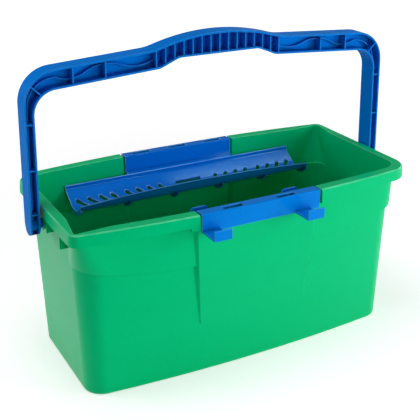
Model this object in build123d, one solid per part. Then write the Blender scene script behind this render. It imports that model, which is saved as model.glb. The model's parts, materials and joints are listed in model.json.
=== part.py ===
from build123d import *
import math
import os

# Window cleaning bucket: a tub, a bail handle, a sieve and a tool holder, all moulded in polypropylene.
# Millimetres. X runs along the length, Y to the back, Z up. The origin is on the floor, under the middle.

# Tub wall, outside, at the floor; it widens upwards by the draft
RIM_HEIGHT = 240.0
BASE_LENGTH = 464.6
BASE_WIDTH = 212.4
BASE_BOW = 12.6
BASE_CORNER = 27.0
WALL_DRAFT = 1.75
WALL = 2.6
FLOOR = 3.2
BASE_EDGE_BEVEL = 1.6
FLOOR_EDGE_BEVEL = 4.0

# Band above the nesting step: its sides stand out, and its lower edge falls from the ends to the bays
BAND_HEIGHT = 57.0
STEP_OUT = 2.1
STEP_FALL = 19.5
STEP_SAG = 4.4
BAND_EXTRA_BOW = 1.0
BAND_CORNER = 25.0

# Rim: a flange with a skirt that hangs from it and flares a little
RIM_END_OVERHANG = 10.4
RIM_SIDE_OVERHANG = 13.2
RIM_EXTRA_BOW = 3.9
RIM_CORNER = 35.0
RIM_THICKNESS = 2.6
RIM_EDGE_BEVEL = 1.6
SKIRT_DROP = 15.5
SKIRT_FLARE = 4.0

# Pouring spouts in two opposite corners: flat sides that leave the walls, and a corner that narrows to a tip
SPOUT_LENGTH = 42.0
SPOUT_FLARE = 8.0
SPOUT_TIP = 6.6
SPOUT_ROOT = 34.0
SPOUT_ROOT_DROP = 25.0
SPOUT_TOP_RISE = 6.0
SPOUT_REACH = 240.0
SPOUT_CORE_CORNER = 38.0
SPOUT_RIM_CORNER = 12.0

# Saddle: the part of the sieve and of the tool holder that hooks over the rim
SADDLE_WIDTH = 174.0
SADDLE_THICKNESS = 3.0
SADDLE_DROP_OUTSIDE = 25.5
SADDLE_DROP_INSIDE = 26.5
SADDLE_GAP = 0.3
SADDLE_EDGE_RADIUS = 1.2
SADDLE_RIB_THICKNESS = 2.4
SADDLE_RIBS = 3

# Bay: the flat panel under each saddle, and the notch in the rim that the saddle fills
NOTCH_SIDE_GAP = 2.8
LOBE_WIDTH = 12.0
LOBE_DROP = 4.5
PANEL_TOP_OUT = 6.4
PANEL_FOOT_OUT = 1.2
PANEL_FOOT_HEIGHT = 73.0
PANEL_FOOT_NARROWING = 10.0
PANEL_SIDE_ANGLE = 42.0
PANEL_CORNER = 6.0
PANEL_REACH = 24.0

# Handle pivots on the tub
PIVOT_DROP = 26.0
PIVOT_DIAMETER = 12.0
PIVOT_FIT = 0.08
PIVOT_BOSS_WALL = 3.0
PIVOT_SOCKET_FLOOR = 0.6
PIVOT_FIN_SPACING = 36.0
PIVOT_FIN_DROP = 33.0
END_RIB_SPACING = 134.0
END_RIB_DROP = 35.0
END_RIB_THICKNESS = 2.6

# Bail handle: an H section bent to a bail, with an arched grip
ARM_GAP = 4.3
ARM_LEAN = 1.56
ARM_THICKNESS = 12.7
HANDLE_DEPTH = 27.0
BAR_HEIGHT = 24.4
BAR_SLOPE = 3.55
BAIL_RISE = 168.6
OUTER_BEND = 44.0
INNER_BEND = 30.0
HANDLE_FLANGE = 2.4
HANDLE_WEB = 2.6
WEB_SETBACK = 3.0
GRIP_LENGTH = 180.0
GRIP_CROWN = 290.0
CROWN_RISE = 9.3
GRIP_BLEND = 60.0
GRIP_HEIGHT = 28.0
FINGER_LENGTH = 116.0
FINGER_RAMP = 27.0
FINGER_BLEND = 18.0
GRIP_POCKETS = 14
GRIP_RIB = 1.8
BAR_RIB = 1.8
BAR_RIB_SETBACKS = (98.0, 56.0)
BEND_RIB_ANGLE = 45.0
ARM_RIB_DROPS = (62.0, 120.0, 178.0)
WAVE_RIB = 1.5
WAVE_RIB_HEIGHT = 6.0
WAVE_SWING = 5.2
WAVE_START_GAP = 3.0
WAVE_SPANS = (46.0, 46.0, 40.0)
WAVE_LEAD = 0.4
WAVE_BEND = 36.0
RIB_REACH = 60.0
PEG_END_GAP = 0.5
PEG_BEVEL = 1.2
PEG_ROOT_WALL = 2.0

# Sieve: a gutter with drain slots
SIEVE_LENGTH = 366.0
SIEVE_THICKNESS = 2.4
SIEVE_WALL_GAP = 1.7
SIEVE_FLANGE_HEIGHT = 6.5
BACK_SLOPE = 34.0
FRONT_SLOPE = 56.0
VALLEY_SETBACK = 41.0
VALLEY_RADIUS = 28.0
CREASE_RADIUS = 4.0
FRONT_EDGE_DROP = 10.0
FRONT_EDGE_RISE = 10.0
SLOT_WIDTH = 5.6
SLOT_BEVEL = 1.7
SLOT_PITCH = 17.3
SLOT_OUTER_START = 174.0
SLOT_INNER_START = 100.0
SLOT_LENGTHS = (29.0, 29.0, 26.0, 11.0)
SLOT_TURN = 43.0
SLOT_SETBACK = 15.0
WINDOW_LENGTH = 42.0
WINDOW_DEPTH = 15.0
WINDOW_CORNER = 3.0
FIN_THICKNESS = 2.4
FIN_HEIGHT = 5.0
FIN_BACK_REACH = 18.0
FIN_FRONT_DROP = 6.0
FINS = 6

# Tool holder: two hooks outside and two tabs inside the rim
HOOK_WIDTH = 24.5
HOOK_REACH = 30.0
HOOK_LIP = 14.0
HOOK_THICKNESS = 2.6
HOOK_INSET = 1.0
HOOK_SPACING = 135.0
TAB_REACH = 20.0
TAB_LIP = 22.0
TAB_CORNER = 5.0
TOP_WINDOW_LENGTH = 28.0
TOP_WINDOW_DEPTH = 7.5
HOLDER_WINDOW_PLACES = (-40.5, 37.0)
SIEVE_WINDOW_PLACES = (-58.5, 0.0, 58.5)

FAR = 400.0
UPRIGHT = 0.5


def plan_face(length, width, bow, corner, spout_corner, height):
    """Outline seen from above: straight ends, bowed long sides and round corners, two of them spouted."""
    half = length / 2
    side = width / 2 - bow
    edges = [
        ThreePointArc((-half, -side), (0, -width / 2), (half, -side)),
        Line((half, -side), (half, side)),
        ThreePointArc((half, side), (0, width / 2), (-half, side)),
        Line((-half, side), (-half, -side)),
    ]
    outline = Face(Wire(edges))
    plain = [(half, -side, corner), (-half, side, corner)]
    spouted = [(-half, -side, spout_corner), (half, side, spout_corner)]
    for x, y, radius in plain + spouted:
        nearest = outline.vertices().sort_by_distance((x, y, 0))[0]
        outline = outline.fillet_2d(radius, [nearest])
    return Pos(0, 0, height) * outline


def drafted(face, height, angle):
    """Solid drawn upwards from a level face, widening by a draft angle."""
    upright = extrude(face, height, dir=(0, 0, 1))
    sides = [side for side in upright.faces() if not side.is_planar or abs(side.normal_at().Z) < UPRIGHT]
    return draft(sides, Plane(face.center()), -angle)


def widening(height):
    """How far the drafted wall has moved outwards at a height."""
    return height * math.tan(math.radians(WALL_DRAFT))


def wall_body(bottom, top, offset):
    """Solid block inside the wall's outline from one height to another."""
    out = widening(bottom) + offset
    corner = BASE_CORNER + out
    outline = plan_face(BASE_LENGTH + 2 * out, BASE_WIDTH + 2 * out, BASE_BOW, corner, corner, bottom)
    return drafted(outline, top - bottom, WALL_DRAFT)


def band_half_length(height, offset):
    """Distance of the band's end from the middle, at a height."""
    return BASE_LENGTH / 2 + widening(height) + offset


def band_face(height, offset):
    """Outline of the band at a height, moved outwards by an offset."""
    length = 2 * band_half_length(height, offset)
    width = 2 * band_half_width(0, height, offset)
    corner = BAND_CORNER + offset
    spout_corner = SPOUT_CORE_CORNER + offset
    return plan_face(length, width, BASE_BOW + BAND_EXTRA_BOW, corner, spout_corner, height)


def band_half_width(place, height, offset):
    """Distance of the band's long side from the middle, at a place along X and a height."""
    bow = BASE_BOW + BAND_EXTRA_BOW
    middle = BASE_WIDTH / 2 + BAND_EXTRA_BOW + widening(height) + STEP_OUT + offset
    return middle - bow * (place / band_half_length(height, offset)) ** 2


def wall_half_width(place, height):
    """Distance of the long wall under the band from the middle, at a place along X and a height."""
    middle = BASE_WIDTH / 2 + widening(height)
    return middle - BASE_BOW * (place / (BASE_LENGTH / 2)) ** 2


def block(x_low, x_high, y_low, y_high, z_low, z_high):
    """Rectangular block between two corners."""
    size = Box(x_high - x_low, y_high - y_low, z_high - z_low, align=(Align.MIN, Align.MIN, Align.MIN))
    return Pos(x_low, y_low, z_low) * size


def both_ends(shape):
    """A shape and its mirror image at the other end of the tub."""
    return shape + mirror(shape, Plane.YZ)


def both_sides(shape):
    """A shape and its mirror image at the other long side of the tub."""
    return shape + mirror(shape, Plane.XZ)


# Sizes that follow from the wall, the rim and the saddle
RIM_LENGTH = 2 * (band_half_length(RIM_HEIGHT, 0) + RIM_END_OVERHANG)
RIM_WIDTH = 2 * (band_half_width(0, RIM_HEIGHT, 0) + RIM_SIDE_OVERHANG)
RIM_BOW = BASE_BOW + BAND_EXTRA_BOW + RIM_EXTRA_BOW
STEP_HEIGHT = RIM_HEIGHT - BAND_HEIGHT
NOTCH_HALF = SADDLE_WIDTH / 2 + NOTCH_SIDE_GAP
NOTCH_DEPTH = SADDLE_THICKNESS + SADDLE_GAP
RIM_HALF_WIDTH_AT_NOTCH = RIM_WIDTH / 2 - RIM_BOW * (NOTCH_HALF / (RIM_LENGTH / 2)) ** 2
BEAD_PLACE = RIM_HALF_WIDTH_AT_NOTCH - NOTCH_DEPTH
INNER_FACE_PLACE = band_half_width(NOTCH_HALF, RIM_HEIGHT, -WALL)
PANEL_TOP_PLACE = band_half_width(NOTCH_HALF, RIM_HEIGHT, 0) + PANEL_TOP_OUT
PANEL_FOOT_PLACE = wall_half_width(NOTCH_HALF, PANEL_FOOT_HEIGHT) + PANEL_FOOT_OUT
PANEL_HEIGHT = RIM_HEIGHT - PANEL_FOOT_HEIGHT
PANEL_TILT = math.degrees(math.atan((PANEL_TOP_PLACE - PANEL_FOOT_PLACE) / PANEL_HEIGHT))
SADDLE_OUTER_PLACE = BEAD_PLACE + SADDLE_GAP + SADDLE_THICKNESS
SADDLE_INNER_PLACE = INNER_FACE_PLACE
SADDLE_SEAT = RIM_HEIGHT - SADDLE_THICKNESS
PIVOT_HEIGHT = RIM_HEIGHT - PIVOT_DROP


def above_step(lift):
    """Everything above the step line: level round the ends, sagging down to the bays along the sides."""
    end = band_half_length(STEP_HEIGHT, 0)
    high = STEP_HEIGHT + lift
    low = high - STEP_FALL
    middle = ((end + NOTCH_HALF) / 2, (high + low) / 2 - STEP_SAG)
    top = RIM_HEIGHT + FAR
    left_sag = ThreePointArc((-end, high), (-middle[0], middle[1]), (-NOTCH_HALF, low))
    right_sag = ThreePointArc((NOTCH_HALF, low), middle, (end, high))
    bays = Line((-NOTCH_HALF, low), (NOTCH_HALF, low))
    rest = Polyline((end, high), (FAR, high), (FAR, top), (-FAR, top), (-FAR, high), (-end, high))
    outline = Face(Wire(left_sag.edges() + bays.edges() + right_sag.edges() + rest.edges()))
    return extrude(Plane.XZ * outline, FAR, both=True)


def band_body(top, offset, lift):
    """Solid block inside the band's outline, from the step line up to a height."""
    bottom = STEP_HEIGHT - STEP_FALL
    return drafted(band_face(bottom, offset), top - bottom, WALL_DRAFT) & above_step(lift)


def spout_side_normal(start, tip, outwards):
    """Outward normal of a spout's flat side, which leaves a wall along a line and holds the tip."""
    normal = (start[0] - tip).cross(start[1] - tip).normalized()
    return normal if normal.dot(outwards) > 0 else -normal


def spout_axis_point(height, radius, tip, normals):
    """Middle of the spout's round corner at a height: as far from both flat sides as its radius."""
    first, second = normals
    first_share = first.dot(tip) - radius - first.Z * height
    second_share = second.dot(tip) - radius - second.Z * height
    spread = first.X * second.Y - first.Y * second.X
    x = (first_share * second.Y - second_share * first.Y) / spread
    y = (second_share * first.X - first_share * second.X) / spread
    return Vector(x, y, height)


def spouts(top, offset, lift):
    """Both pouring spouts, up to a height; each is a wedge with a conical corner on a leaning axis."""
    end = -band_half_length(RIM_HEIGHT, 0)
    side = -band_half_width(end, RIM_HEIGHT, 0)
    tip = Vector(end - SPOUT_FLARE, side - SPOUT_FLARE, RIM_HEIGHT)
    place = end + SPOUT_LENGTH
    side_start = [Vector(place, -band_half_width(place, z, 0), z) for z in (RIM_HEIGHT, STEP_HEIGHT)]
    end_start = [Vector(-band_half_length(z, 0), side + SPOUT_LENGTH, z) for z in (RIM_HEIGHT, STEP_HEIGHT)]
    normals = (
        spout_side_normal(side_start, tip, Vector(0, -1, 0)),
        spout_side_normal(end_start, tip, Vector(-1, 0, 0)),
    )
    low = spout_axis_point(STEP_HEIGHT, SPOUT_ROOT, tip, normals)
    high = spout_axis_point(RIM_HEIGHT, SPOUT_TIP, tip, normals)
    axis = (high - low).normalized()
    length = (high - low).length
    lean = math.asin((SPOUT_ROOT - SPOUT_TIP) / length)
    level = [(normal - axis * normal.dot(axis)).normalized() for normal in normals]
    half_angle = math.radians(90 - level[0].get_angle(level[1]) / 2)

    radius = (SPOUT_ROOT + SPOUT_ROOT_DROP * math.sin(lean) + offset) / math.cos(lean)
    corner = radius / math.sin(half_angle)
    back = corner - SPOUT_REACH * math.cos(half_angle)
    spread = SPOUT_REACH * math.sin(half_angle)
    sharp = make_face(Polyline((corner, 0), (back, spread), (back, -spread), close=True)).face()
    section = sharp.fillet_2d(radius, [sharp.vertices().sort_by(Axis.X)[-1]])
    wedge = drafted(section, SPOUT_ROOT_DROP + length + SPOUT_TOP_RISE, -math.degrees(lean))
    frame = Plane(low - axis * SPOUT_ROOT_DROP, x_dir=level[0] + level[1], z_dir=axis)
    below = block(-FAR, FAR, -FAR, FAR, 0, top)
    spout = frame.location * wedge & below & above_step(lift)
    return spout + Rot(0, 0, 180) * spout


def rim_face(height, offset):
    """Outline of the rim at a height: the skirt flares towards its lower edge."""
    out = offset + (RIM_HEIGHT - height) * math.tan(math.radians(SKIRT_FLARE))
    corner = RIM_CORNER + out
    spout_corner = SPOUT_RIM_CORNER + out
    return plan_face(RIM_LENGTH + 2 * out, RIM_WIDTH + 2 * out, RIM_BOW, corner, spout_corner, height)


def rim_cap(drop):
    """Solid cap of the rim's outline, hanging down by a drop, with its upper edge bevelled."""
    cap = drafted(rim_face(RIM_HEIGHT - drop, 0), drop, -SKIRT_FLARE)
    return chamfer(cap.faces().sort_by(Axis.Z)[-1].edges(), RIM_EDGE_BEVEL)


def rim_hollow(drop):
    """The space under the flange and inside the skirt."""
    return drafted(rim_face(RIM_HEIGHT - drop, -RIM_THICKNESS), drop - RIM_THICKNESS, -SKIRT_FLARE)


def make_rim():
    """Flange and skirt, notched for the saddles, with deeper lobes and closing webs beside each notch."""
    ring = rim_cap(SKIRT_DROP) - rim_hollow(SKIRT_DROP)
    deep = SKIRT_DROP + LOBE_DROP
    deep_cap = rim_cap(deep)
    deep_ring = deep_cap - rim_hollow(deep)
    lobe_zone = both_ends(block(NOTCH_HALF, NOTCH_HALF + LOBE_WIDTH, -FAR, FAR, 0, FAR))
    web_zone = both_ends(block(NOTCH_HALF, NOTCH_HALF + RIM_THICKNESS, -FAR, FAR, 0, FAR))
    notch_zone = block(-NOTCH_HALF, NOTCH_HALF, -FAR, FAR, 0, FAR)
    return ring - notch_zone + (deep_ring & lobe_zone) + (deep_cap & web_zone)


def panel_prism(inset):
    """The bay's flat panel as a prism with sloping sides, its face set in from the outside by an inset."""
    tilt = math.radians(PANEL_TILT)
    narrow = inset * math.tan(math.radians(45 - PANEL_SIDE_ANGLE / 2))
    top_half = NOTCH_HALF - narrow
    foot_half = top_half - PANEL_FOOT_NARROWING
    length = PANEL_HEIGHT / math.cos(tilt)
    corners = [(-foot_half, 0), (foot_half, 0), (top_half, length), (-top_half, length)]
    sharp = Face(Wire(Polyline(*corners, close=True).edges()))
    outline = sharp.fillet_2d(PANEL_CORNER, sharp.vertices().sort_by(Axis.Y)[:2])
    inwards = Plane(
        origin=(0, -PANEL_FOOT_PLACE + inset / math.cos(tilt), PANEL_FOOT_HEIGHT),
        x_dir=(-1, 0, 0),
        z_dir=(0, math.cos(tilt), math.sin(tilt)),
    )
    upright = extrude(inwards * outline, PANEL_REACH, dir=inwards.z_dir)
    sides = [side for side in upright.faces() if abs(side.normal_at().dot(inwards.z_dir)) < UPRIGHT]
    return draft(sides, inwards, -PANEL_SIDE_ANGLE)


def make_tub():
    """The tub: walls with a nesting step, rim, bays for the saddles and pivots for the handle."""
    seat = RIM_HEIGHT - NOTCH_DEPTH
    under_flange = RIM_HEIGHT - RIM_THICKNESS
    over_mouth = RIM_HEIGHT + RIM_THICKNESS
    lower = wall_body(0, under_flange, 0)
    lower = chamfer(lower.faces().sort_by(Axis.Z)[0].edges(), BASE_EDGE_BEVEL)
    walls = lower + band_body(under_flange, 0, 0)
    walls = walls - block(-NOTCH_HALF, NOTCH_HALF, -FAR, FAR, seat, FAR)

    panel = panel_prism(0) & block(-FAR, FAR, -FAR, FAR, 0, seat)
    bead = block(-NOTCH_HALF, NOTCH_HALF, -BEAD_PLACE, -INNER_FACE_PLACE, RIM_HEIGHT - SKIRT_DROP, seat)
    body = walls + spouts(under_flange, 0, 0) + make_rim() + both_sides(panel) + both_sides(bead)

    cavity = wall_body(FLOOR, over_mouth, -WALL)
    cavity = chamfer(cavity.faces().sort_by(Axis.Z)[0].edges(), FLOOR_EDGE_BEVEL)
    hollow = cavity + band_body(over_mouth, -WALL, WALL) + spouts(over_mouth, -WALL, WALL)
    bay = panel_prism(WALL) & block(-NOTCH_HALF, NOTCH_HALF, -FAR, FAR, 0, FAR)
    body = body - hollow - both_sides(bay)
    return body + make_pivot_fins(hollow) - make_pivot_holes()


def pivot_cylinder(radius, x_low, x_high):
    """Cylinder on the handle's axis between two places along X."""
    return Pos(x_low, 0, PIVOT_HEIGHT) * Rot(0, 90, 0) * Cylinder(
        radius, x_high - x_low, align=(Align.CENTER, Align.CENTER, Align.MIN)
    )


def make_pivot_fins(hollow):
    """Pivot bosses on the ends, with fins beside them and ribs that tie the skirt to the wall."""
    outside = RIM_LENGTH / 2
    wall = band_half_length(PIVOT_HEIGHT, -WALL / 2)
    shape = pivot_cylinder(PIVOT_DIAMETER / 2 + PIVOT_BOSS_WALL, wall, outside)
    top = RIM_HEIGHT - RIM_THICKNESS / 2
    for spacing, drop in ((PIVOT_FIN_SPACING, PIVOT_FIN_DROP), (END_RIB_SPACING, END_RIB_DROP)):
        rib = block(
            wall - WALL, outside, (spacing - END_RIB_THICKNESS) / 2, (spacing + END_RIB_THICKNESS) / 2,
            RIM_HEIGHT - drop, top,
        )
        shape = shape + both_sides(rib)
    return both_ends(shape) - hollow


def make_pivot_holes():
    """Sockets on the handle's axis in the bosses; the end walls close them."""
    floor = band_half_length(PIVOT_HEIGHT, PIVOT_SOCKET_FLOOR)
    return both_ends(pivot_cylinder(PIVOT_DIAMETER / 2 + PIVOT_FIT, floor, RIM_LENGTH / 2 + RIM_CORNER))


# Handle outline, right half: places in X and Z
LEAN = math.tan(math.radians(ARM_LEAN))
SLOPE = math.tan(math.radians(BAR_SLOPE))
ARM_SPREAD = RIM_LENGTH + 2 * (ARM_GAP + ARM_THICKNESS)
BAR_END_TOP = RIM_HEIGHT + BAIL_RISE


def arm_outside(height):
    """Outer face of the right arm at a height; the arms lean together upwards."""
    return ARM_SPREAD / 2 - LEAN * (height - RIM_HEIGHT)


def arm_middle(height):
    """Mid-line of the right arm at a height."""
    return arm_outside(height) - ARM_THICKNESS / 2


def bar_top(place):
    """Upper face of the bar at a distance from the middle; it falls towards the arms."""
    return BAR_END_TOP + SLOPE * (arm_outside(BAR_END_TOP) - place)


def bar_middle(place):
    """Mid-height of the bar at a distance from the middle."""
    return bar_top(place) - BAR_HEIGHT / 2


GRIP_TOP = bar_top(0) + CROWN_RISE
FINGER_TOP = GRIP_TOP - GRIP_HEIGHT


def handle_outline():
    """Flat outline of the bail in the XZ plane, as (x, z) in a sketch."""
    foot = PIVOT_HEIGHT - HANDLE_DEPTH / 2
    outer_corner = (arm_outside(BAR_END_TOP), BAR_END_TOP)
    inner_top = BAR_END_TOP - BAR_HEIGHT
    inner_corner = (arm_outside(inner_top) - ARM_THICKNESS, inner_top)
    meet = GRIP_CROWN * SLOPE + math.sqrt((GRIP_CROWN * SLOPE) ** 2 + 2 * GRIP_CROWN * CROWN_RISE)
    grip_end = (meet, bar_top(meet))
    ramp_top = FINGER_LENGTH / 2
    ramp_foot = ramp_top + FINGER_RAMP
    underside = bar_top(ramp_foot) - BAR_HEIGHT
    half = [
        grip_end, outer_corner, (arm_outside(foot), foot), (arm_outside(foot) - ARM_THICKNESS, foot),
        inner_corner, (ramp_foot, underside), (ramp_top, FINGER_TOP),
    ]
    crown = ThreePointArc((-grip_end[0], grip_end[1]), (0, GRIP_TOP), grip_end)
    right = Polyline(*half)
    left = Polyline(*[(-x, z) for x, z in half])
    floor = Line((-ramp_top, FINGER_TOP), (ramp_top, FINGER_TOP))
    sharp = Face(Wire(crown.edges() + right.edges() + left.edges() + floor.edges()))
    blends = (
        (grip_end, GRIP_BLEND), (outer_corner, OUTER_BEND), (inner_corner, INNER_BEND),
        ((ramp_foot, underside), FINGER_BLEND), ((ramp_top, FINGER_TOP), FINGER_BLEND),
    )
    for (x, z), radius in blends:
        for place in (x, -x):
            corner = sharp.vertices().sort_by_distance((place, z, 0))[0]
            sharp = sharp.fillet_2d(radius, [corner])
    return sharp


def handle_slab(face, y_low, y_high):
    """Slab of a flat XZ outline between two places in depth."""
    standing = Plane((0, y_high, 0), x_dir=(1, 0, 0), z_dir=(0, -1, 0)) * face
    return extrude(standing, y_high - y_low, dir=(0, -1, 0))


def xz_bar(x, z, length, thickness, angle):
    """Flat strip centred on a place in the XZ sketch, turned by an angle from X."""
    return Pos(x, z) * Rot(0, 0, angle) * Rectangle(length, thickness)


def handle_ribs():
    """Flat strips of the ribs that cross the handle's channel."""
    strips = []
    pitch = GRIP_LENGTH / GRIP_POCKETS
    middle = (GRIP_TOP + FINGER_TOP) / 2
    for i in range(GRIP_POCKETS + 1):
        strips.append(xz_bar(-GRIP_LENGTH / 2 + i * pitch, middle, RIB_REACH, GRIP_RIB, 90))
    for sign in (-1, 1):
        bend = (arm_middle(BAR_END_TOP), BAR_END_TOP - BAR_HEIGHT / 2)
        for setback in BAR_RIB_SETBACKS:
            place = bend[0] - setback
            strips.append(xz_bar(sign * place, bar_middle(place), RIB_REACH, BAR_RIB, 90))
        strips.append(xz_bar(sign * bend[0], bend[1], RIB_REACH, BAR_RIB, sign * BEND_RIB_ANGLE))
        for drop in ARM_RIB_DROPS:
            height = BAR_END_TOP - drop
            strips.append(xz_bar(sign * arm_middle(height), height, RIB_REACH, BAR_RIB, 0))
    return strips


def wave_places(end):
    """Where the wavy rib crosses the bar's mid-line: its half waves fill the run from the grip to an end."""
    places = [FINGER_LENGTH / 2 + FINGER_RAMP + WAVE_START_GAP]
    stretch = (end - places[0]) / sum(WAVE_SPANS)
    for span in WAVE_SPANS:
        places.append(places[-1] + span * stretch)
    return places


def wave_strip():
    """Flat strip of the right wavy rib: it swings along the bar, turns the bend and runs down the arm."""
    path = []
    swing = -WAVE_SWING
    corner_height = bar_middle(arm_middle(BAR_END_TOP))
    corner = arm_middle(corner_height)
    last = corner - WAVE_BEND - WAVE_LEAD
    places = wave_places(last)
    for start, end in zip(places, places[1:]):
        crest = (start + end) / 2
        path += ThreePointArc(
            (start, bar_middle(start)), (crest, bar_middle(crest) + swing), (end, bar_middle(end))
        ).edges()
        swing = -swing
    foot = PIVOT_HEIGHT + PIVOT_DIAMETER / 2
    path += FilletPolyline(
        (last, bar_middle(last)), (corner, corner_height), (arm_middle(foot), foot), radius=WAVE_BEND
    ).edges()
    return make_face(offset(Wire(path), WAVE_RIB / 2, side=Side.BOTH).edges())


def make_peg():
    """Right pivot peg: root in the arm's channel and a shaft with a bevelled end in the tub's socket."""
    arm = arm_outside(PIVOT_HEIGHT) - HANDLE_FLANGE / 2
    arm_inside = arm - ARM_THICKNESS + HANDLE_FLANGE
    end = band_half_length(PIVOT_HEIGHT, PIVOT_SOCKET_FLOOR + PEG_END_GAP)
    radius = PIVOT_DIAMETER / 2
    shaft = pivot_cylinder(radius, end, arm)
    shaft = chamfer(shaft.faces().sort_by(Axis.X)[0].edges(), PEG_BEVEL)
    return shaft + pivot_cylinder(radius + PEG_ROOT_WALL, arm_inside, arm)


def make_handle():
    """The bail: flanges round the outline, a web between them, ribs across the channels and two pegs."""
    outline = handle_outline()
    front = -HANDLE_DEPTH / 2
    back = HANDLE_DEPTH / 2
    web_front = WEB_SETBACK - HANDLE_WEB / 2
    web_back = WEB_SETBACK + HANDLE_WEB / 2
    core = offset(outline, -HANDLE_FLANGE).face()
    body = handle_slab(outline, front, back)
    body = body - handle_slab(core, front, web_front) - handle_slab(core, web_back, back)

    ribs = handle_ribs()
    strips = ribs[0]
    for strip in ribs[1:]:
        strips = strips + strip
    cross = outline & strips
    rib_inset = HANDLE_FLANGE / 2
    body = body + handle_slab(cross, front + rib_inset, back - rib_inset)
    body = body + both_ends(handle_slab(wave_strip(), web_front - WAVE_RIB_HEIGHT, web_front))

    foot_zone = block(-FAR, FAR, -FAR, FAR, 0, PIVOT_HEIGHT)
    round_foot = pivot_cylinder(HANDLE_DEPTH / 2, -FAR, FAR)
    body = body - (foot_zone - round_foot)
    return body + both_ends(make_peg())


def saddle_profile():
    """Front saddle in the YZ plane: outer plate, top and inner plate, as (y, z)."""
    outer = -SADDLE_OUTER_PLACE
    inner = -SADDLE_INNER_PLACE
    top = RIM_HEIGHT
    t = SADDLE_THICKNESS
    return [
        (outer, top - SADDLE_DROP_OUTSIDE), (outer, top), (inner, top), (inner, top - SADDLE_DROP_INSIDE),
        (inner - t, top - SADDLE_DROP_INSIDE), (inner - t, top - t), (outer + t, top - t),
        (outer + t, top - SADDLE_DROP_OUTSIDE),
    ]


def along_x(points, length):
    """Solid of a YZ outline, drawn along X about the middle."""
    face = make_face(Polyline(*points, close=True))
    return extrude(Plane.YZ * face, length / 2, both=True)


def make_saddle(window_places):
    """Saddle over the front rim, with windows in its top and ribs behind its inner plate."""
    saddle = along_x(saddle_profile(), SADDLE_WIDTH)
    outer_edges = saddle.edges().filter_by(Axis.X).group_by(Axis.Z)[-1]
    saddle = fillet(outer_edges, SADDLE_EDGE_RADIUS)
    window_start = -SADDLE_OUTER_PLACE + SADDLE_THICKNESS
    for place in window_places:
        window = block(
            place - TOP_WINDOW_LENGTH / 2, place + TOP_WINDOW_LENGTH / 2, window_start,
            window_start + TOP_WINDOW_DEPTH, RIM_HEIGHT - 2 * SADDLE_THICKNESS, RIM_HEIGHT + SADDLE_THICKNESS,
        )
        saddle = saddle - window
    return saddle + make_saddle_ribs()


def make_saddle_ribs():
    """Ribs on the hidden side of the inner plate, that meet the bay's wall."""
    foot = RIM_HEIGHT - SADDLE_DROP_INSIDE
    lean = math.tan(math.radians(PANEL_TILT))
    bay_top = PANEL_TOP_PLACE - WALL / math.cos(math.radians(PANEL_TILT)) - SADDLE_GAP
    bay_foot = bay_top - lean * (RIM_HEIGHT - foot)
    bay_seat = bay_top - lean * (RIM_HEIGHT - SADDLE_SEAT)
    back = SADDLE_INNER_PLACE + SADDLE_THICKNESS / 2
    points = [(-back, foot), (-bay_foot, foot), (-bay_seat, SADDLE_SEAT), (-back, SADDLE_SEAT)]
    rib = along_x(points, SADDLE_RIB_THICKNESS)
    pitch = SADDLE_WIDTH / (SADDLE_RIBS + 1)
    ribs = Pos(-pitch * (SADDLE_RIBS - 1) / 2, 0, 0) * rib
    for i in range(1, SADDLE_RIBS):
        ribs = ribs + Pos(pitch * (i - (SADDLE_RIBS - 1) / 2), 0, 0) * rib
    return ribs


def make_tool_holder():
    """Saddle for the front rim with two hooks outside and two tabs inside."""
    holder = make_saddle(HOLDER_WINDOW_PLACES)
    t = HOOK_THICKNESS
    out = -SADDLE_OUTER_PLACE
    hook_root = out + SADDLE_THICKNESS / 2
    hook_end = out - HOOK_REACH
    foot = RIM_HEIGHT - SADDLE_DROP_OUTSIDE
    hook_points = [
        (hook_root, foot), (hook_end, foot), (hook_end, foot + HOOK_LIP),
        (hook_end + t, foot + HOOK_LIP), (hook_end + t, foot + t), (hook_root, foot + t),
    ]
    inner = -SADDLE_INNER_PLACE
    tab_root = inner - SADDLE_THICKNESS / 2
    tab_end = inner + TAB_REACH
    inner_foot = RIM_HEIGHT - SADDLE_DROP_INSIDE
    tab_points = [
        (tab_root, inner_foot), (tab_end, inner_foot), (tab_end, inner_foot + TAB_LIP),
        (tab_end - t, inner_foot + TAB_LIP), (tab_end - t, inner_foot + t), (tab_root, inner_foot + t),
    ]
    hook = along_x(hook_points, HOOK_WIDTH)
    tab = along_x(tab_points, HOOK_WIDTH)
    tab_top = tab.edges().filter_by(Axis.Y).group_by(Axis.Z)[-1]
    tab = fillet(tab_top, TAB_CORNER)
    left = -SADDLE_WIDTH / 2 + HOOK_INSET + HOOK_WIDTH / 2
    for place in (left, left + HOOK_SPACING):
        holder = holder + Pos(place, 0, 0) * hook + Pos(place, 0, 0) * tab
    return holder


# Sieve places that follow from the saddle and the rear wall
SIEVE_TOP = RIM_HEIGHT - SADDLE_DROP_INSIDE + SIEVE_THICKNESS
SIEVE_BACK = band_half_width(SIEVE_LENGTH / 2, SIEVE_TOP, -WALL) - SIEVE_WALL_GAP
SIEVE_FLANGE_PLACE = SIEVE_BACK - SIEVE_THICKNESS
VALLEY_PLACE = SIEVE_FLANGE_PLACE - VALLEY_SETBACK
SLOT_BACK_PLACE = SIEVE_FLANGE_PLACE - SLOT_SETBACK
FRONT_EDGE_END = SIEVE_TOP - FRONT_EDGE_DROP


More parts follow.
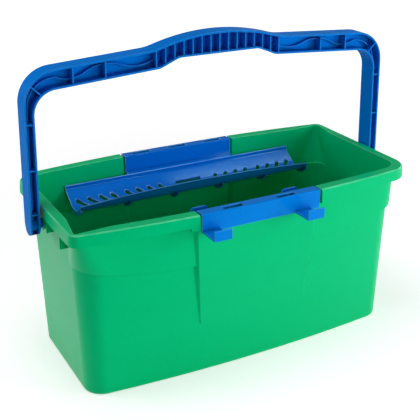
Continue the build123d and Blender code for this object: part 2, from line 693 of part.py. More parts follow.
def gutter_line(shift):
    """Mid-line of the sieve's section in YZ, moved outwards (down) by a shift."""
    back = SIEVE_FLANGE_PLACE + shift
    crease = SIEVE_TOP - SIEVE_FLANGE_HEIGHT
    back_rise = math.tan(math.radians(BACK_SLOPE))
    front_rise = math.tan(math.radians(FRONT_SLOPE))
    back_drop = shift / math.cos(math.radians(BACK_SLOPE))
    front_push = shift / math.sin(math.radians(FRONT_SLOPE))
    valley_height = crease - back_rise * VALLEY_SETBACK
    crease_height = crease + back_rise * shift - back_drop
    slip = (back_drop - front_push * front_rise) / (back_rise + front_rise)
    valley = (VALLEY_PLACE + slip, valley_height + back_rise * slip - back_drop)
    front_top = SIEVE_TOP + 2 * FRONT_EDGE_RISE
    front = (valley[0] - (front_top - valley[1]) / front_rise, front_top)
    return FilletPolyline(
        (back, SIEVE_TOP), (back, crease_height), valley, front,
        radius=[CREASE_RADIUS + shift, VALLEY_RADIUS + shift],
    )


def gutter_face(inner_shift, outer_shift):
    """Face between two shifted section lines of the gutter."""
    inside = gutter_line(inner_shift)
    outside = gutter_line(outer_shift)
    ends = [Line(inside @ 0, outside @ 0), Line(inside @ 1, outside @ 1)]
    return Face(Wire(inside.edges() + outside.edges() + ends[0].edges() + ends[1].edges()))


def front_edge_cut():
    """Space above the gutter's front edge, which arches up at the middle."""
    half = SIEVE_LENGTH / 2 + SIEVE_THICKNESS
    crest = (0, FRONT_EDGE_END + FRONT_EDGE_RISE)
    arch = ThreePointArc((-half, FRONT_EDGE_END), crest, (half, FRONT_EDGE_END))
    top = FRONT_EDGE_END + FAR / 4
    sides = Polyline((half, FRONT_EDGE_END), (half, top), (-half, top), (-half, FRONT_EDGE_END))
    face = Face(Wire(arch.edges() + sides.edges()))
    return extrude(Plane((0, VALLEY_PLACE, 0), x_dir=(1, 0, 0), z_dir=(0, -1, 0)) * face, FAR / 4)


def drain_cuts():
    """Slanted drain slots in four groups, and the window in the middle."""
    depth = FAR / 4
    cuts = Pos(0, SLOT_BACK_PLACE - WINDOW_DEPTH / 2, SIEVE_TOP - depth) * extrude(
        RectangleRounded(WINDOW_LENGTH, WINDOW_DEPTH, WINDOW_CORNER), depth
    )
    for start in (SLOT_OUTER_START, SLOT_INNER_START):
        for i, length in enumerate(SLOT_LENGTHS):
            place = start - i * SLOT_PITCH
            bar = Rectangle(length, SLOT_WIDTH)
            slot = Pos(-length / 2, 0) * chamfer(bar.vertices(), SLOT_BEVEL)
            turned = Pos(place, SLOT_BACK_PLACE, SIEVE_TOP - depth) * Rot(0, 0, 90 - SLOT_TURN) * slot
            cuts = cuts + both_ends(extrude(turned, depth))
    return cuts


def make_fin():
    """Thin fin under the gutter that follows its section."""
    fin_face = gutter_face(SIEVE_THICKNESS / 2, SIEVE_THICKNESS + FIN_HEIGHT)
    fin = extrude(Plane.YZ * fin_face, FIN_THICKNESS / 2, both=True)
    kept = block(
        -FAR, FAR, -FAR, VALLEY_PLACE + FIN_BACK_REACH, 0, FRONT_EDGE_END - FIN_FRONT_DROP
    )
    return fin & kept


def make_sieve():
    """Gutter with drain slots and fins below, hung from a saddle on the rear rim."""
    tray = extrude(Plane.YZ * gutter_face(0, SIEVE_THICKNESS), SIEVE_LENGTH / 2, both=True)
    fin = make_fin()
    pitch = (SIEVE_LENGTH - FIN_THICKNESS) / (FINS - 1)
    for i in range(FINS):
        tray = tray + Pos(pitch * (i - (FINS - 1) / 2), 0, 0) * fin
    tray = tray - front_edge_cut() - drain_cuts()

    saddle = mirror(make_saddle(SIEVE_WINDOW_PLACES), Plane.XZ)
    ledge = block(
        -SADDLE_WIDTH / 2, SADDLE_WIDTH / 2, SIEVE_FLANGE_PLACE, SADDLE_INNER_PLACE + SADDLE_THICKNESS / 2,
        SIEVE_TOP - SIEVE_THICKNESS, SIEVE_TOP,
    )
    return tray + saddle + ledge


NODES = {
    "tub": make_tub,
    "bail_handle": make_handle,
    "sieve": make_sieve,
    "tool_holder": make_tool_holder,
}

os.makedirs("parts", exist_ok=True)
for name, make in NODES.items():
    shape = make()
    shape.label = name
    export_step(shape, os.path.join("parts", name + ".step"))
    print(name, "solids", len(shape.solids()), "volume", round(shape.volume))
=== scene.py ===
"""Window cleaning bucket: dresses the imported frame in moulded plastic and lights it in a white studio.

Lengths are in metres, angles in radians and lamp powers in watts.
"""

import json
import logging
import math
from dataclasses import dataclass, field
from enum import Enum
from typing import Any

import bmesh
import bpy
from mathutils import Color, Euler, Matrix, Vector

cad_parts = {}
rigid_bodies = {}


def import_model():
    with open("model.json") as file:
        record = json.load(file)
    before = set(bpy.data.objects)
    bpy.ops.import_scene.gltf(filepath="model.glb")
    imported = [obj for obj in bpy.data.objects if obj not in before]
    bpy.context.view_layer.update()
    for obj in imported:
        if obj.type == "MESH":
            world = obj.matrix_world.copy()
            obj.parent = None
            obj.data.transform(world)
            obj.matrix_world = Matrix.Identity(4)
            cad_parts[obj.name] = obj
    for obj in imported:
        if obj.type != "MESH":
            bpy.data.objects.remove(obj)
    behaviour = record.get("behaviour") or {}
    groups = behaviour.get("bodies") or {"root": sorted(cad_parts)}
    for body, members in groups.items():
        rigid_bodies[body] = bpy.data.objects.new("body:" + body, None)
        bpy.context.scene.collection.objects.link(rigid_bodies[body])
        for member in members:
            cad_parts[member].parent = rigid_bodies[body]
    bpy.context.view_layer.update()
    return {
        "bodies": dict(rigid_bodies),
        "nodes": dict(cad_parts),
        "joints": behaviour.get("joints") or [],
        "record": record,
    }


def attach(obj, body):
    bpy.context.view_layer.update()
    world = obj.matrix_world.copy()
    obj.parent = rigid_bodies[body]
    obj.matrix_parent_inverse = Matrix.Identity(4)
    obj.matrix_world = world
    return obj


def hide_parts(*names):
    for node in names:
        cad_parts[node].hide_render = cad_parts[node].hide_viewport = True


LOG = logging.getLogger("bucket")
EDGE_LAYER = "moulded_edge"
CHANNEL_TOP = 255

Colour = tuple[float, float, float, float]
Place = tuple[float, float, float]
Span = tuple[float, float]

WHITE: Colour = (1.0, 1.0, 1.0, 1.0)

# Sockets of a Mix node, whose names repeat for each type of data
MIX_SHARE = 0
VALUE_A, VALUE_B, VALUE_OUT = 2, 3, 0
COLOUR_A, COLOUR_B, COLOUR_OUT = 6, 7, 2


class Slot(Enum):
    """Material slots of the record, one for each moulding."""

    TUB = "tub_green"
    HANDLE = "handle_blue"
    SIEVE = "sieve_blue"
    HOLDER = "holder_blue"


class Effect(Enum):
    """Shader node groups that the plastics share."""

    PIGMENT = "pigment drift"
    GRAIN = "moulded grain"
    GLOSS = "rubbed gloss"
    EDGE = "painted edge highlight and polish"
    CREASE = "painted crease shade"


def linear(red: int, green: int, blue: int) -> Colour:
    """Turns a screen colour into a linear one.

    Args:
        red: Red from 0 to 255.
        green: Green from 0 to 255.
        blue: Blue from 0 to 255.

    Returns:
        The colour as linear values from 0 to 1, with an alpha of 1.
    """
    screen = Color((red / CHANNEL_TOP, green / CHANNEL_TOP, blue / CHANNEL_TOP))
    return (*screen.from_srgb_to_scene_linear(), 1.0)


@dataclass(frozen=True)
class Noise:
    """How much fine detail a noise pattern has, and how strong it is."""

    detail: float
    roughness: float


@dataclass
class NodeSheet:
    """Adds and links shader nodes in one node tree, from left to right."""

    tree: Any
    column: int = 0
    column_width: int = 220

    def add(self, kind: str, **settings: Any) -> Any:
        """Adds a node.

        Args:
            kind: The node's type name.
            settings: Attributes of the node, or values for the inputs of that name.

        Returns:
            The new node.
        """
        node = self.tree.nodes.new(kind)
        node.location = (self.column_width * self.column, 0)
        self.column += 1
        for name, value in settings.items():
            if hasattr(node, name):
                setattr(node, name, value)
            else:
                node.inputs[name.replace("_", " ")].default_value = value
        return node

    def noise(self, look: Noise, **settings: Any) -> Any:
        """Adds a noise pattern."""
        return self.add("ShaderNodeTexNoise", Detail=look.detail, Roughness=look.roughness, **settings)

    def spread(self, span: Span, **settings: Any) -> Any:
        """Adds a node that spreads a span of values over another one."""
        return self.add("ShaderNodeMapRange", From_Min=span[0], From_Max=span[1], **settings)

    def join(self, start: Any, end: Any) -> None:
        """Links an output socket to an input socket."""
        self.tree.links.new(start, end)


@dataclass
class PlasticEffects:
    """Builds the shader node groups that every plastic of the bucket shares."""

    cloud_stretch: Place = (0.6, 1.0, 1.6)
    cloud_noise: Noise = Noise(detail=3.0, roughness=0.55)
    cloud_span: Span = (0.34, 0.66)
    mottle_noise: Noise = Noise(detail=2.0, roughness=0.5)
    mottle_scale: float = 130.0
    mottle_share: float = 0.3
    grain_noise: Noise = Noise(detail=2.0, roughness=0.6)
    wave_noise: Noise = Noise(detail=1.0, roughness=0.4)
    patch_noise: Noise = Noise(detail=4.0, roughness=0.6)
    patch_scale: float = 9.0
    streak_noise: Noise = Noise(detail=2.0, roughness=0.7)
    streak_turn: Place = (0.3, 0.5, 0.7)
    streak_stretch: Place = (14.0, 260.0, 260.0)
    streak_span: Span = (0.55, 0.75)
    streak_height: float = 0.25
    # Painted highlight and polish along the rounded edges: the mask lightens the colour and lowers the
    # roughness
    edge_highlight_and_polish_noise: Noise = Noise(detail=3.0, roughness=0.6)
    edge_and_crease_noise_scale: float = 38.0
    edge_highlight_and_polish_span: Span = (0.35, 0.65)
    # Painted shade in the creases: ambient occlusion darkens the colour where the surface is enclosed
    crease_noise: Noise = Noise(detail=2.0, roughness=0.5)
    crease_least_reach: float = 0.003
    crease_most_reach: float = 0.009
    crease_rays: int = 16
    crease_span: Span = (0.35, 0.92)
    crease_shade: float = 0.70
    groups: dict[Effect, Any] = field(default_factory=dict)

    def new_group(
        self, effect: Effect, inputs: dict[str, str], outputs: dict[str, str]
    ) -> tuple[NodeSheet, Any, Any]:
        """Starts a node group with named sockets.

        Args:
            effect: The effect that the group makes.
            inputs: Socket types by input name.
            outputs: Socket types by output name.

        Returns:
            The group's sheet, its input node and its output node.
        """
        tree = bpy.data.node_groups.new(effect.value, "ShaderNodeTree")
        for label, kind in inputs.items():
            tree.interface.new_socket(label, in_out="INPUT", socket_type="NodeSocket" + kind)
        for label, kind in outputs.items():
            tree.interface.new_socket(label, in_out="OUTPUT", socket_type="NodeSocket" + kind)
        sheet = NodeSheet(tree)
        self.groups[effect] = tree
        return sheet, sheet.add("NodeGroupInput"), sheet.add("NodeGroupOutput")

    def build(self) -> None:
        """Builds all groups."""
        self.build_pigment()
        self.build_grain()
        self.build_gloss()
        self.build_edge_highlight_and_polish()
        self.build_painted_crease_shade()

    def build_pigment(self) -> None:
        """Pigment that drifts between two colours, in clouds drawn out by the flow and a fine mottle."""
        sheet, entry, leave = self.new_group(
            Effect.PIGMENT,
            {"Vector": "Vector", "Colour": "Color", "Deep colour": "Color", "Scale": "Float"},
            {"Colour": "Color"},
        )
        stretch = sheet.add("ShaderNodeMapping", Scale=self.cloud_stretch)
        clouds = sheet.noise(self.cloud_noise)
        mottle = sheet.noise(self.mottle_noise, Scale=self.mottle_scale)
        total = sheet.add("ShaderNodeMix", data_type="FLOAT")
        total.inputs[MIX_SHARE].default_value = self.mottle_share
        spread = sheet.spread(self.cloud_span)
        blend = sheet.add("ShaderNodeMix", data_type="RGBA")
        sheet.join(entry.outputs["Vector"], stretch.inputs["Vector"])
        sheet.join(stretch.outputs["Vector"], clouds.inputs["Vector"])
        sheet.join(entry.outputs["Scale"], clouds.inputs["Scale"])
        sheet.join(entry.outputs["Vector"], mottle.inputs["Vector"])
        sheet.join(clouds.outputs["Fac"], total.inputs[VALUE_A])
        sheet.join(mottle.outputs["Fac"], total.inputs[VALUE_B])
        sheet.join(total.outputs[VALUE_OUT], spread.inputs["Value"])
        sheet.join(spread.outputs["Result"], blend.inputs[MIX_SHARE])
        sheet.join(entry.outputs["Colour"], blend.inputs[COLOUR_A])
        sheet.join(entry.outputs["Deep colour"], blend.inputs[COLOUR_B])
        sheet.join(blend.outputs[COLOUR_OUT], leave.inputs["Colour"])

    def build_grain(self) -> None:
        """Fine grain of the mould's surface, with the slow waviness of a large thin wall."""
        sheet, entry, leave = self.new_group(
            Effect.GRAIN,
            {"Vector": "Vector", "Grain scale": "Float", "Wave scale": "Float", "Wave share": "Float"},
            {"Height": "Float"},
        )
        grain = sheet.noise(self.grain_noise)
        wave = sheet.noise(self.wave_noise)
        blend = sheet.add("ShaderNodeMix", data_type="FLOAT")
        sheet.join(entry.outputs["Vector"], grain.inputs["Vector"])
        sheet.join(entry.outputs["Vector"], wave.inputs["Vector"])
        sheet.join(entry.outputs["Grain scale"], grain.inputs["Scale"])
        sheet.join(entry.outputs["Wave scale"], wave.inputs["Scale"])
        sheet.join(entry.outputs["Wave share"], blend.inputs[MIX_SHARE])
        sheet.join(grain.outputs["Fac"], blend.inputs[VALUE_A])
        sheet.join(wave.outputs["Fac"], blend.inputs[VALUE_B])
        sheet.join(blend.outputs[VALUE_OUT], leave.inputs["Height"])

    def build_gloss(self) -> None:
        """Roughness that changes in soft patches, with faint rubbed streaks across them."""
        sheet, entry, leave = self.new_group(
            Effect.GLOSS,
            {"Vector": "Vector", "Smooth": "Float", "Rough": "Float"},
            {"Roughness": "Float"},
        )
        patches = sheet.noise(self.patch_noise, Scale=self.patch_scale)
        turn = sheet.add("ShaderNodeMapping", Rotation=self.streak_turn, Scale=self.streak_stretch)
        streaks = sheet.noise(self.streak_noise, Scale=1.0)
        sharpen = sheet.spread(self.streak_span, To_Max=self.streak_height)
        total = sheet.add("ShaderNodeMath", operation="ADD", use_clamp=True)
        spread = sheet.add("ShaderNodeMapRange")
        sheet.join(entry.outputs["Vector"], patches.inputs["Vector"])
        sheet.join(entry.outputs["Vector"], turn.inputs["Vector"])
        sheet.join(turn.outputs["Vector"], streaks.inputs["Vector"])
        sheet.join(streaks.outputs["Fac"], sharpen.inputs["Value"])
        sheet.join(patches.outputs["Fac"], total.inputs[0])
        sheet.join(sharpen.outputs["Result"], total.inputs[1])
        sheet.join(total.outputs["Value"], spread.inputs["Value"])
        sheet.join(entry.outputs["Smooth"], spread.inputs["To Min"])
        sheet.join(entry.outputs["Rough"], spread.inputs["To Max"])
        sheet.join(spread.outputs["Result"], leave.inputs["Roughness"])

    def build_edge_highlight_and_polish(self) -> None:
        """Mask of the rounded edges, stronger and weaker along their length, for a painted highlight in the
        colour and a polish in the roughness.
        """
        sheet, entry, leave = self.new_group(
            Effect.EDGE,
            {"Vector": "Vector", "Edge": "Float", "Least": "Float", "Most": "Float"},
            {"Mask": "Float"},
        )
        patches = sheet.noise(self.edge_highlight_and_polish_noise, Scale=self.edge_and_crease_noise_scale)
        spread = sheet.spread(self.edge_highlight_and_polish_span)
        mask = sheet.add("ShaderNodeMath", operation="MULTIPLY", use_clamp=True)
        sheet.join(entry.outputs["Vector"], patches.inputs["Vector"])
        sheet.join(patches.outputs["Fac"], spread.inputs["Value"])
        sheet.join(entry.outputs["Least"], spread.inputs["To Min"])
        sheet.join(entry.outputs["Most"], spread.inputs["To Max"])
        sheet.join(spread.outputs["Result"], mask.inputs[0])
        sheet.join(entry.outputs["Edge"], mask.inputs[1])
        sheet.join(mask.outputs["Value"], leave.inputs["Mask"])

    def build_painted_crease_shade(self) -> None:
        """Painted shade: colour that darkens in the creases, as far as ambient occlusion finds them
        enclosed.
        """
        sheet, entry, leave = self.new_group(
            Effect.CREASE,
            {"Vector": "Vector", "Colour": "Color"},
            {"Colour": "Color"},
        )
        patches = sheet.noise(self.crease_noise, Scale=self.edge_and_crease_noise_scale)
        reach = sheet.add(
            "ShaderNodeMapRange", To_Min=self.crease_least_reach, To_Max=self.crease_most_reach
        )
        hollow = sheet.add("ShaderNodeAmbientOcclusion", samples=self.crease_rays, only_local=True)
        spread = sheet.spread(self.crease_span, To_Min=self.crease_shade)
        deepen = sheet.add("ShaderNodeMix", data_type="RGBA", blend_type="MULTIPLY")
        deepen.inputs[MIX_SHARE].default_value = 1.0
        sheet.join(entry.outputs["Vector"], patches.inputs["Vector"])
        sheet.join(patches.outputs["Fac"], reach.inputs["Value"])
        sheet.join(reach.outputs["Result"], hollow.inputs["Distance"])
        sheet.join(hollow.outputs["AO"], spread.inputs["Value"])
        sheet.join(entry.outputs["Colour"], deepen.inputs[COLOUR_A])
        sheet.join(spread.outputs["Result"], deepen.inputs[COLOUR_B])
        sheet.join(deepen.outputs[COLOUR_OUT], leave.inputs["Colour"])


@dataclass(frozen=True)
class PlasticFinish:
    """Semi-gloss moulded polypropylene in one colour, polished a little along its edges, with a painted
    highlight there and painted shade in its creases.
    """

    name: str
    colour: Colour
    deep_colour: Colour
    painted_edge_highlight_colour: Colour
    gloss_colour: Colour
    gloss_level: float
    refraction: float = 1.49
    drift_scale: float = 5.0
    smooth: float = 0.26
    rough: float = 0.40
    edge_roughness: float = 0.22
    edge_least: float = 0.25
    edge_most: float = 0.65
    grain_scale: float = 1400.0
    wave_scale: float = 22.0
    wave_share: float = 0.65
    grain_height: float = 0.00012
    grain_strength: float = 0.35

    def material(self, effects: PlasticEffects) -> bpy.types.Material:
        """Builds the finish's material.

        Args:
            effects: The shared node groups.

        Returns:
            The material.
        """
        made = bpy.data.materials.new(self.name)
        made.use_nodes = True
        made.node_tree.nodes.clear()
        sheet = NodeSheet(made.node_tree)
        place = sheet.add("ShaderNodeTexCoord").outputs["Object"]
        edge = sheet.add("ShaderNodeAttribute", attribute_name=EDGE_LAYER)
        pigment = self.group(sheet, effects, Effect.PIGMENT, place, {
            "Colour": self.colour, "Deep colour": self.deep_colour, "Scale": self.drift_scale,
        })
        gloss = self.group(sheet, effects, Effect.GLOSS, place, {"Smooth": self.smooth, "Rough": self.rough})
        grain = self.group(sheet, effects, Effect.GRAIN, place, {
            "Grain scale": self.grain_scale, "Wave scale": self.wave_scale, "Wave share": self.wave_share,
        })
        edge_highlight_and_polish = self.group(sheet, effects, Effect.EDGE, place, {
            "Least": self.edge_least, "Most": self.edge_most,
        })
        # Painted shade in the creases, multiplied into the pigment
        crease = self.group(sheet, effects, Effect.CREASE, place, {})
        # Painted highlight: the edge mask mixes a lighter colour into the edges, and also lowers the
        # roughness there
        tone = sheet.add("ShaderNodeMix", data_type="RGBA")
        tone.inputs[COLOUR_B].default_value = self.painted_edge_highlight_colour
        polish = sheet.add("ShaderNodeMix", data_type="FLOAT")
        polish.inputs[VALUE_B].default_value = self.edge_roughness
        bump = sheet.add("ShaderNodeBump", Strength=self.grain_strength, Distance=self.grain_height)
        shader = sheet.add("ShaderNodeBsdfPrincipled", IOR=self.refraction)
        shader.inputs["Specular IOR Level"].default_value = self.gloss_level
        shader.inputs["Specular Tint"].default_value = self.gloss_colour
        end = sheet.add("ShaderNodeOutputMaterial")
        sheet.join(edge.outputs["Fac"], edge_highlight_and_polish.inputs["Edge"])
        sheet.join(edge_highlight_and_polish.outputs["Mask"], tone.inputs[MIX_SHARE])
        sheet.join(pigment.outputs["Colour"], crease.inputs["Colour"])
        sheet.join(crease.outputs["Colour"], tone.inputs[COLOUR_A])
        sheet.join(edge_highlight_and_polish.outputs["Mask"], polish.inputs[MIX_SHARE])
        sheet.join(gloss.outputs["Roughness"], polish.inputs[VALUE_A])
        sheet.join(grain.outputs["Height"], bump.inputs["Height"])
        sheet.join(tone.outputs[COLOUR_OUT], shader.inputs["Base Color"])
        sheet.join(polish.outputs[VALUE_OUT], shader.inputs["Roughness"])
        sheet.join(bump.outputs["Normal"], shader.inputs["Normal"])
        sheet.join(shader.outputs["BSDF"], end.inputs["Surface"])
        return made

    def group(
        self, sheet: NodeSheet, effects: PlasticEffects, effect: Effect, place: Any, values: dict[str, Any]
    ) -> Any:
        """Places a shared group in the material.

        Args:
            sheet: The material's node sheet.
            effects: The shared node groups.
            effect: The group to place.
            place: The socket that gives the place on the piece.
            values: The group's own values by input name.

        Returns:
            The group's node.
        """
        node = sheet.add("ShaderNodeGroup", node_tree=effects.groups[effect])
        sheet.join(place, node.inputs["Vector"])
        for name, value in values.items():
            node.inputs[name].default_value = value
        return node


GREEN_GLOSS: Colour = (0.0, 0.8, 1.0, 1.0)
BLUE_GLOSS: Colour = (0.0, 0.6, 1.0, 1.0)
CLEAR_GLOSS: Colour = (0.4, 0.9, 1.0, 1.0)

# Each finish's edge colour is a painted highlight along its rounded edges
TUB_GREEN = PlasticFinish(
    name="green polypropylene",
    colour=linear(0, 199, 125),
    deep_colour=linear(0, 193, 119),
    painted_edge_highlight_colour=linear(120, 228, 176),
    gloss_colour=GREEN_GLOSS,
    gloss_level=0.20,
)
HANDLE_BLUE = PlasticFinish(
    name="handle blue polypropylene",
    colour=linear(0, 127, 225),
    deep_colour=linear(0, 119, 216),
    painted_edge_highlight_colour=linear(64, 150, 230),
    gloss_colour=BLUE_GLOSS,
    gloss_level=0.015,
    smooth=0.32,
    rough=0.46,
)
SIEVE_BLUE = PlasticFinish(
    name="sieve blue polypropylene",
    colour=linear(0, 118, 225),
    deep_colour=linear(0, 110, 215),
    painted_edge_highlight_colour=linear(140, 200, 248),
    gloss_colour=CLEAR_GLOSS,
    gloss_level=0.7,
    smooth=0.05,
    rough=0.09,
)
HOLDER_BLUE = PlasticFinish(
    name="holder blue polypropylene",
    colour=linear(0, 131, 230),
    deep_colour=linear(0, 124, 222),
    painted_edge_highlight_colour=linear(100, 180, 242),
    gloss_colour=BLUE_GLOSS,
    gloss_level=0.4,
    smooth=0.08,
    rough=0.18,
)


@dataclass
class Moulding:
    """One moulding of the bucket: its node's shape, with the edges rounded as a mould leaves them."""

    node: str
    body: str
    slot: Slot
    finish: PlasticFinish
    edge_radius: float
    edge_segments: int = 2
    edge_face_area: float = 0.000002
    sharp_angle: float = math.radians(28)
    flat_angle: float = math.radians(0.4)
    weld: float = 0.00001
    fine_weld: float = 0.000002
    shading_weight: int = 100

    def build(self, frame: dict[str, Any], effects: PlasticEffects) -> bpy.types.Object:
        """Builds the piece, dresses it and lets it stand for its node.

        Args:
            frame: The loaded frame.
            effects: The shared node groups.

        Returns:
            The new object.
        """
        mesh = self.build_mesh(frame["nodes"][self.node].data)
        self.dress(mesh, effects)
        piece = bpy.data.objects.new(mesh.name, mesh)
        bpy.context.scene.collection.objects.link(piece)
        evened = piece.modifiers.new("even shading", "WEIGHTED_NORMAL")
        evened.keep_sharp = True
        evened.weight = self.shading_weight
        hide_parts(self.node)
        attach(piece, self.body)
        return piece

    def build_mesh(self, source: bpy.types.Mesh) -> bpy.types.Mesh:
        """Copies the node's mesh with flat faces joined, edges rounded and round faces shaded smooth.

        Args:
            source: The node's own mesh, which stays as it is.

        Returns:
            The new mesh.
        """
        work = bmesh.new()
        work.from_mesh(source)
        bmesh.ops.remove_doubles(work, verts=work.verts, dist=self.weld)
        bmesh.ops.dissolve_limit(work, angle_limit=self.flat_angle, verts=work.verts, edges=work.edges)
        layer = work.faces.layers.float.new(EDGE_LAYER)
        rounded = bmesh.ops.bevel(
            work, geom=self.outer_edges(work), offset=self.edge_radius, offset_type="OFFSET",
            segments=self.edge_segments, affect="EDGES", profile=0.5, clamp_overlap=False, material=-1,
        )
        # The rounded edges are marked for the painted highlight and the polish
        for face in rounded["faces"]:
            face[layer] = 1.0
        bmesh.ops.remove_doubles(work, verts=work.verts, dist=self.fine_weld)
        for face in work.faces:
            face.smooth = True
            # Faces that are themselves an edge, such as the tub rim's outer bevel, get the painted highlight
            # and the polish too
            face[layer] = max(face[layer], float(self.gets_edge_highlight_and_polish(face)))
        for edge in work.edges:
            edge.smooth = not self.is_crease(edge)
        mesh = bpy.data.meshes.new(self.node + "_moulding")
        work.to_mesh(mesh)
        work.free()
        return mesh

    def gets_edge_highlight_and_polish(self, face: bmesh.types.BMFace) -> bool:
        """Tells whether a face of the node itself is an edge that gets the painted highlight and the polish.
        """
        return False

    def is_crease(self, edge: bmesh.types.BMEdge) -> bool:
        """Tells whether the shading breaks at an edge."""
        return edge.calc_face_angle(0.0) > self.sharp_angle

    def outer_edges(self, work: bmesh.types.BMesh) -> list[bmesh.types.BMEdge]:
        """Finds the outer edges that have room to be rounded.

        Args:
            work: The mesh before its edges are rounded.

        Returns:
            The convex sharp edges between faces that are large enough.
        """
        return [
            edge for edge in work.edges
            if edge.is_convex and edge.calc_face_angle(0.0) > self.sharp_angle
            and min(face.calc_area() for face in edge.link_faces) > self.edge_face_area
        ]

    def dress(self, mesh: bpy.types.Mesh, effects: PlasticEffects) -> None:
        """Gives the mesh its finish."""
        mesh.materials.append(self.finish.material(effects))


@dataclass
class Tub(Moulding):
    """The tub: drafted walls with a nesting step, two bays, a skirted rim and pouring spouts."""

    node: str = "tub"
    body: str = "tub"
    slot: Slot = Slot.TUB
    finish: PlasticFinish = TUB_GREEN
    edge_radius: float = 0.0009
    rim_height: float = 0.240
    rim_bevel: float = 0.0016
    foot_bevel: float = 0.0016
    height_play: float = 0.0004
    upright_below: float = 0.3
    level_above: float = 0.9
    step_top: float = 0.200
    step_angle: float = math.radians(3)
    step_slope: float = 0.7

    def outer_edges(self, work: bmesh.types.BMesh) -> list[bmesh.types.BMEdge]:
        """Finds the edges that hands and floors meet: the mouth's and the foot's.

        Args:
            work: The mesh before its edges are rounded.

        Returns:
            Those edges.
        """
        return [edge for edge in super().outer_edges(work) if self.at_mouth(edge) or self.at_foot(edge)]

    def at_mouth(self, edge: bmesh.types.BMEdge) -> bool:
        """Tells whether an edge lies between the rim's flat top and the inner wall.

        Args:
            edge: An edge between two faces.

        Returns:
            Whether it does.
        """
        at_top = min(vertex.co.z for vertex in edge.verts) > self.rim_height - self.height_play
        wall, top = sorted(face.normal.z for face in edge.link_faces)
        return at_top and wall < self.upright_below and top > self.level_above

    def at_foot(self, edge: bmesh.types.BMEdge) -> bool:
        """Tells whether an edge belongs to the bevel round the tub's foot."""
        return max(vertex.co.z for vertex in edge.verts) < self.foot_bevel + self.height_play

    def gets_edge_highlight_and_polish(self, face: bmesh.types.BMFace) -> bool:
        """Tells whether a face belongs to the bevel round the rim's outer edge.

        Args:
            face: A face of the tub.

        Returns:
            Whether it does.
        """
        lowest = min(vertex.co.z for vertex in face.verts)
        slanted = self.upright_below < face.normal.z < self.level_above
        return slanted and lowest > self.rim_height - self.rim_bevel - self.height_play

    def is_crease(self, edge: bmesh.types.BMEdge) -> bool:
        """Tells whether the shading breaks at an edge, which it also does along the nesting step.

        Args:
            edge: An edge of the tub.

        Returns:
            Whether it does.
        """
        low, high = sorted(vertex.co.z for vertex in edge.verts)
        along_step = high < self.step_top and high - low < self.step_slope * edge.calc_length()
        return super().is_crease(edge) or (along_step and edge.calc_face_angle(0.0) > self.step_angle)


@dataclass
class BailHandle(Moulding):
    """The bail handle: an H section with ribs across its channels and an arched grip."""

    node: str = "bail_handle"
    body: str = "bail"
    slot: Slot = Slot.HANDLE
    finish: PlasticFinish = HANDLE_BLUE
    edge_radius: float = 0.0005


@dataclass
class Sieve(Moulding):
    """The sieve: a slotted gutter that hangs in the mouth from its saddle on the rear rim."""

    node: str = "sieve"
    body: str = "sieve"
    slot: Slot = Slot.SIEVE
    finish: PlasticFinish = SIEVE_BLUE
    edge_radius: float = 0.0009


@dataclass
class ToolHolder(Moulding):
    """The tool holder: a saddle on the front rim with two hooks and two tabs."""

    node: str = "tool_holder"
    body: str = "holder"
    slot: Slot = Slot.HOLDER
    finish: PlasticFinish = HOLDER_BLUE
    edge_radius: float = 0.0005


@dataclass(frozen=True)
class SoftBox:
    """A soft lamp aimed at the bucket."""

    name: str
    place: Place
    aim: Place
    width: float
    height: float
    power: float

    def build(self) -> bpy.types.Object:
        """Builds the lamp.

        Returns:
            The lamp, which lights the bucket but doesn't show itself.
        """
        lamp = bpy.data.lights.new(self.name, "AREA")
        lamp.shape = "RECTANGLE"
        lamp.size = self.width
        lamp.size_y = self.height
        lamp.energy = self.power
        made = bpy.data.objects.new(self.name, lamp)
        bpy.context.scene.collection.objects.link(made)
        made.location = self.place
        way = Vector(self.aim) - Vector(self.place)
        made.rotation_euler = way.to_track_quat("-Z", "Y").to_euler()
        made.visible_camera = False
        return made


